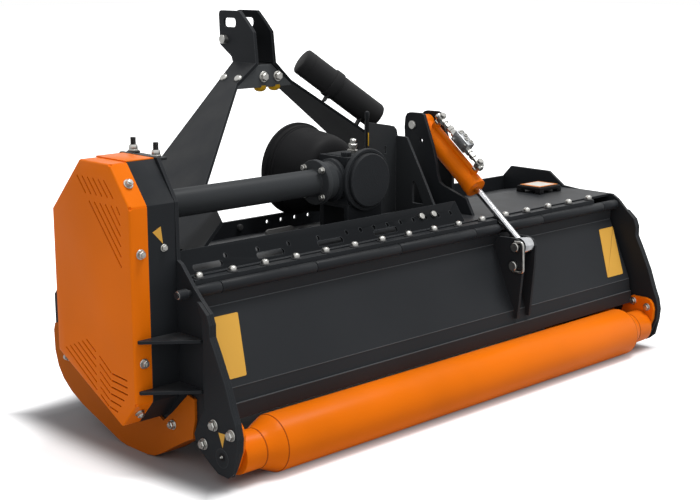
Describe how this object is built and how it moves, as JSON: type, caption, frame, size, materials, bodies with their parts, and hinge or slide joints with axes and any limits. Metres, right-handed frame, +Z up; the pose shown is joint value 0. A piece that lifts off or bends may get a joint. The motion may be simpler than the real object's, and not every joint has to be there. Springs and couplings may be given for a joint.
{
  "type": "tractor mulcher",
  "caption": "Rear-mounted flail mulcher for a tractor: rotor housing with belt drive, shaft gearbox, hitch tower, hydraulic rear hood and support roller.",
  "frame": {"origin": "on the floor under the middle of the whole machine's box", "axes": "+X to the right-hand side plate as seen from behind, +Y forward to the tractor, +Z up"},
  "size_m": [1.841, 0.897, 1.038],
  "materials": {
    "dark_paint": "satin",
    "orange_paint": "gloss",
    "bright_steel": "zinc plated",
    "chrome": "polished",
    "black_plastic": "matte",
    "forged_steel": "rough"
  },
  "bodies": {
    "frame": {"belt_box": "dark_paint", "belt_cover": "orange_paint", "belt_webs": "dark_paint", "control_module": "black_plastic", "cylinder_bracket": "dark_paint", "cylinder_pin": "bright_steel", "deck_plate": "dark_paint", "document_tube": "black_plastic", "drive_tube": "dark_paint", "front_beam": "dark_paint", "front_wall": "dark_paint", "gearbox_cap": "dark_paint", "gearbox_housing": "dark_paint", "gearbox_stand": "dark_paint", "hinge_knuckles_fixed": "dark_paint", "hinge_leaf": "dark_paint", "hinge_rod": "bright_steel", "link_ear_left": "dark_paint", "link_ear_right": "dark_paint", "link_pin_left": "bright_steel", "link_pin_right": "bright_steel", "pto_guard": "black_plastic", "punched_rail": "dark_paint", "roller_arm_left": "dark_paint", "roller_arm_right": "dark_paint", "roller_bearing_left": "orange_paint", "roller_bearing_right": "orange_paint", "rotor_bearings": "dark_paint", "side_plate_left": "dark_paint", "side_plate_right": "dark_paint", "skid_left": "orange_paint", "skid_right": "orange_paint", "top_link_pin": "bright_steel", "tower_gusset": "dark_paint", "tower_left": "dark_paint", "tower_right": "dark_paint", "upright_plate": "dark_paint"},
    "hood": {"hood_panel": "dark_paint", "hinge_knuckles_moving": "dark_paint", "hood_clevis": "dark_paint", "clevis_pin": "bright_steel"},
    "cylinder_barrel": {"cylinder_barrel": "orange_paint", "valve_block": "bright_steel"},
    "cylinder_rod": {"cylinder_rod": "chrome"},
    "rotor": {"rotor_drum": "dark_paint", "rotor_hammers": "forged_steel"},
    "roller": {"roller_drum": "orange_paint"},
    "pto_shaft": {"pto_shaft": "bright_steel"}
  },
  "joints": [
    {"name": "hood_hinge", "type": "hinge", "parent": "frame", "child": "hood", "pos_m": [0.0395, -0.2615, 0.435], "axis": [-1, 0, 0], "range_deg": [0, 60]},
    {"name": "cylinder_swing", "type": "hinge", "parent": "frame", "child": "cylinder_barrel", "pos_m": [0.3115, 0.0485, 0.706], "axis": [-1, 0, 0], "range_deg": [0, 9.2]},
    {"name": "rod_slide", "type": "slide", "parent": "cylinder_barrel", "child": "cylinder_rod", "axis": [0, 0.7836, 0.6213], "range_m": [0, 0.0506]},
    {"name": "rotor_spin", "type": "hinge", "parent": "frame", "child": "rotor", "pos_m": [0.0395, -0.0565, 0.242], "axis": [1, 0, 0], "continuous": true},
    {"name": "roller_spin", "type": "hinge", "parent": "frame", "child": "roller", "pos_m": [0.0395, -0.3785, 0.07], "axis": [1, 0, 0], "continuous": true},
    {"name": "pto_spin", "type": "hinge", "parent": "frame", "child": "pto_shaft", "pos_m": [-0.0905, 0.0685, 0.603], "axis": [0, 1, 0], "continuous": true}
  ],
  "couplings": [
    {"joint": "cylinder_swing", "follows": "hood_hinge", "ratio": 0.15},
    {"joint": "rod_slide", "follows": "hood_hinge", "m_per_rad": 0.048},
    {"joint": "pto_spin", "follows": "rotor_spin", "ratio": 0.5}
  ]
}
